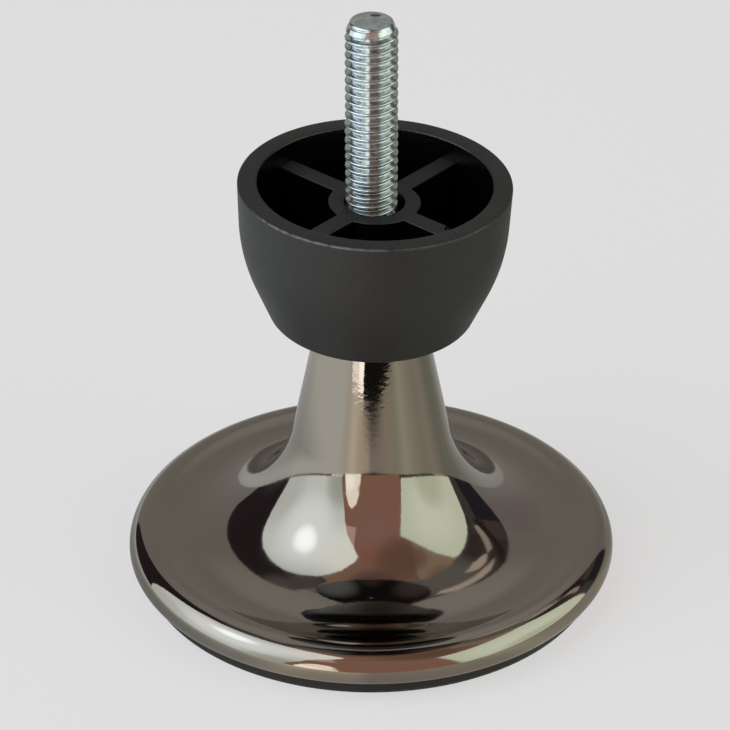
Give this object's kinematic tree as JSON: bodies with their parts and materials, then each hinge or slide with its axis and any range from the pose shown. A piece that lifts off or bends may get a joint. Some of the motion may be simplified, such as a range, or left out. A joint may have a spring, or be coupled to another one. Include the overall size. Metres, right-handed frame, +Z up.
{
  "type": "bed glide",
  "caption": "Bell-shaped metal bed glide on a black floor insert, with a threaded stem and a loose ribbed black cup around it.",
  "frame": {"origin": "on the glide's axis, at the floor under the insert", "axes": "+Z up along the stem, -Y towards the front of the picture, +X to its right"},
  "size_m": [0.0762, 0.0762, 0.0951],
  "materials": {
    "plated_bell": "dark bright plating",
    "moulded_insert": "moulded, satin",
    "zinc_bolt": "bright zinc plating",
    "moulded_cup": "moulded, satin"
  },
  "bodies": {
    "root": {"base_shell": "plated_bell", "floor_insert": "moulded_insert", "stem_bolt": "zinc_bolt", "spacer_cup": "moulded_cup"}
  },
  "joints": []
}
